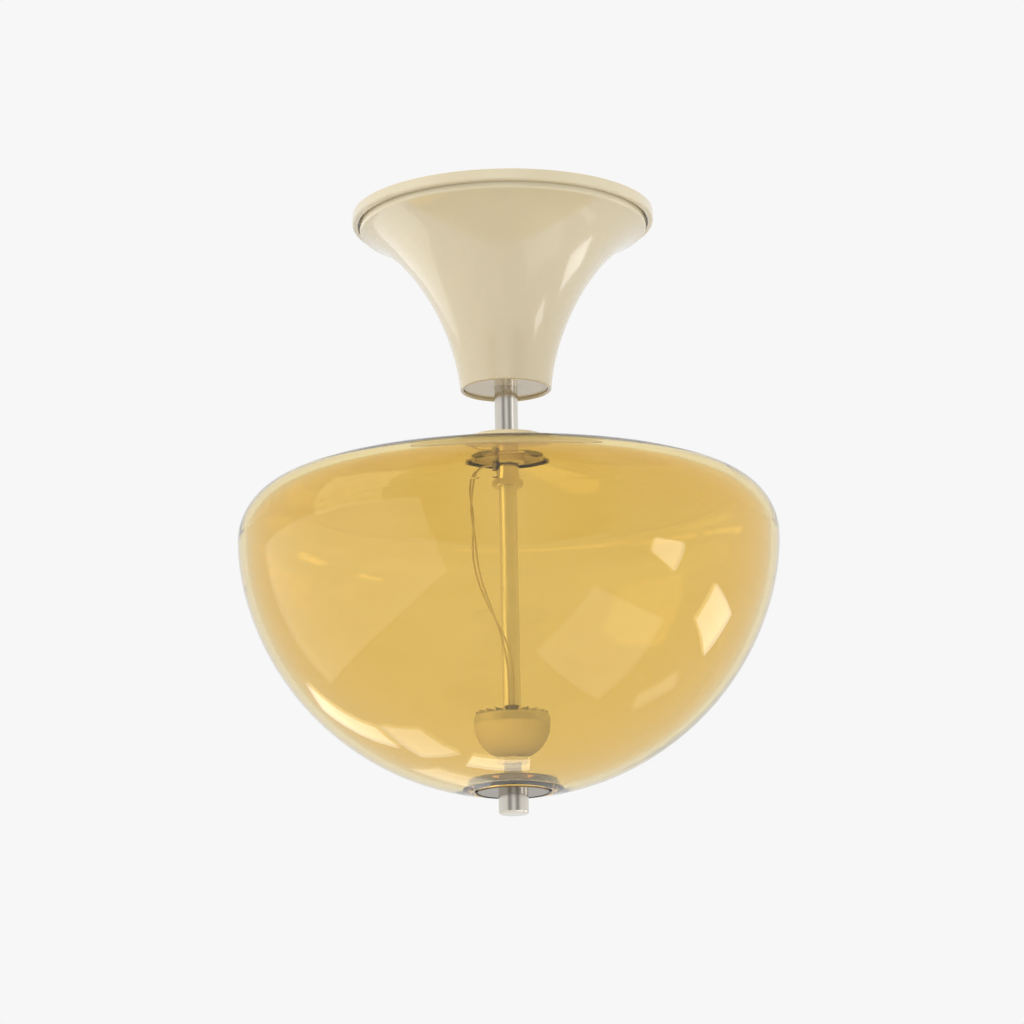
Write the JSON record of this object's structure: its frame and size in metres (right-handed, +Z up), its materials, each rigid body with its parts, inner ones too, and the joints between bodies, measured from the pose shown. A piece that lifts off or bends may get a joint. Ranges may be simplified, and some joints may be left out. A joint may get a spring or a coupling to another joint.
{
  "type": "semi flush ceiling light",
  "caption": "Semi-flush ceiling light: round ceiling plate, trumpet canopy, short nickel stem, closed amber glass bowl held by a washer and knob.",
  "frame": {"origin": "centre of the ceiling plate's back face, in the plane of the ceiling, midway between the two screw slots", "axes": "+Z up into the ceiling, along the lamp's axis; +X along the line of the screw slots; -Y towards the viewer"},
  "size_m": [0.3, 0.3, 0.3419],
  "materials": {
    "cream_paint": "glossy cream enamel",
    "zinc_steel": "zinc plated",
    "brass": "turned",
    "terminal_plastic": "moulded",
    "nickel": "satin nickel plate",
    "gasket_rubber": "soft, pale",
    "sleeve_plastic": "moulded, clear",
    "dark_rubber": "soft, dark",
    "spun_aluminium": "spun and ribbed",
    "board_white": "white solder mask",
    "opal_lens": "opal",
    "lead_grey": "silicone insulation",
    "amber_glass": "clear outside, amber flashed inside"
  },
  "bodies": {
    "fixture": {"ceiling_plate": "cream_paint", "mounting_bracket": "zinc_steel", "plate_screw_a": "zinc_steel", "plate_screw_b": "zinc_steel", "top_nut": "zinc_steel", "lock_washer": "zinc_steel", "under_nut": "zinc_steel", "threaded_pipe": "zinc_steel", "cap_screw": "zinc_steel", "earth_screw": "brass", "terminal_block": "terminal_plastic", "stem_tube": "nickel", "stem_nut": "nickel", "top_cap": "cream_paint", "cup_nut_upper": "nickel", "cup_nut_lower": "nickel", "top_gasket": "gasket_rubber", "stem_bush": "dark_rubber", "cup_bush": "dark_rubber", "light_cup": "spun_aluminium", "led_board": "board_white", "led_diffuser": "opal_lens", "lead_live": "lead_grey", "lead_neutral": "lead_grey"},
    "canopy": {"canopy": "cream_paint", "canopy_web": "cream_paint", "canopy_collar": "cream_paint", "collar_screw": "zinc_steel"},
    "bowl": {"glass_bowl": "amber_glass", "bottom_sleeve": "sleeve_plastic", "bottom_gasket": "gasket_rubber", "bottom_washer": "nickel"},
    "knob": {"knob": "nickel"}
  },
  "joints": [
    {"name": "canopy_slide", "type": "slide", "parent": "fixture", "child": "canopy", "axis": [0, 0, -1], "range_m": [0, 0.026]},
    {"name": "bowl_drop", "type": "slide", "parent": "fixture", "child": "bowl", "axis": [0, 0, -1], "range_m": [0, 0.008]},
    {"name": "knob_turn", "type": "hinge", "parent": "bowl", "child": "knob", "pos_m": [0, 0, -0.3299], "axis": [0, 0, -1], "range_deg": [0, 2880]}
  ],
  "couplings": [
    {"joint": "knob_turn", "follows": "bowl_drop", "rad_per_m": 6283.2}
  ]
}
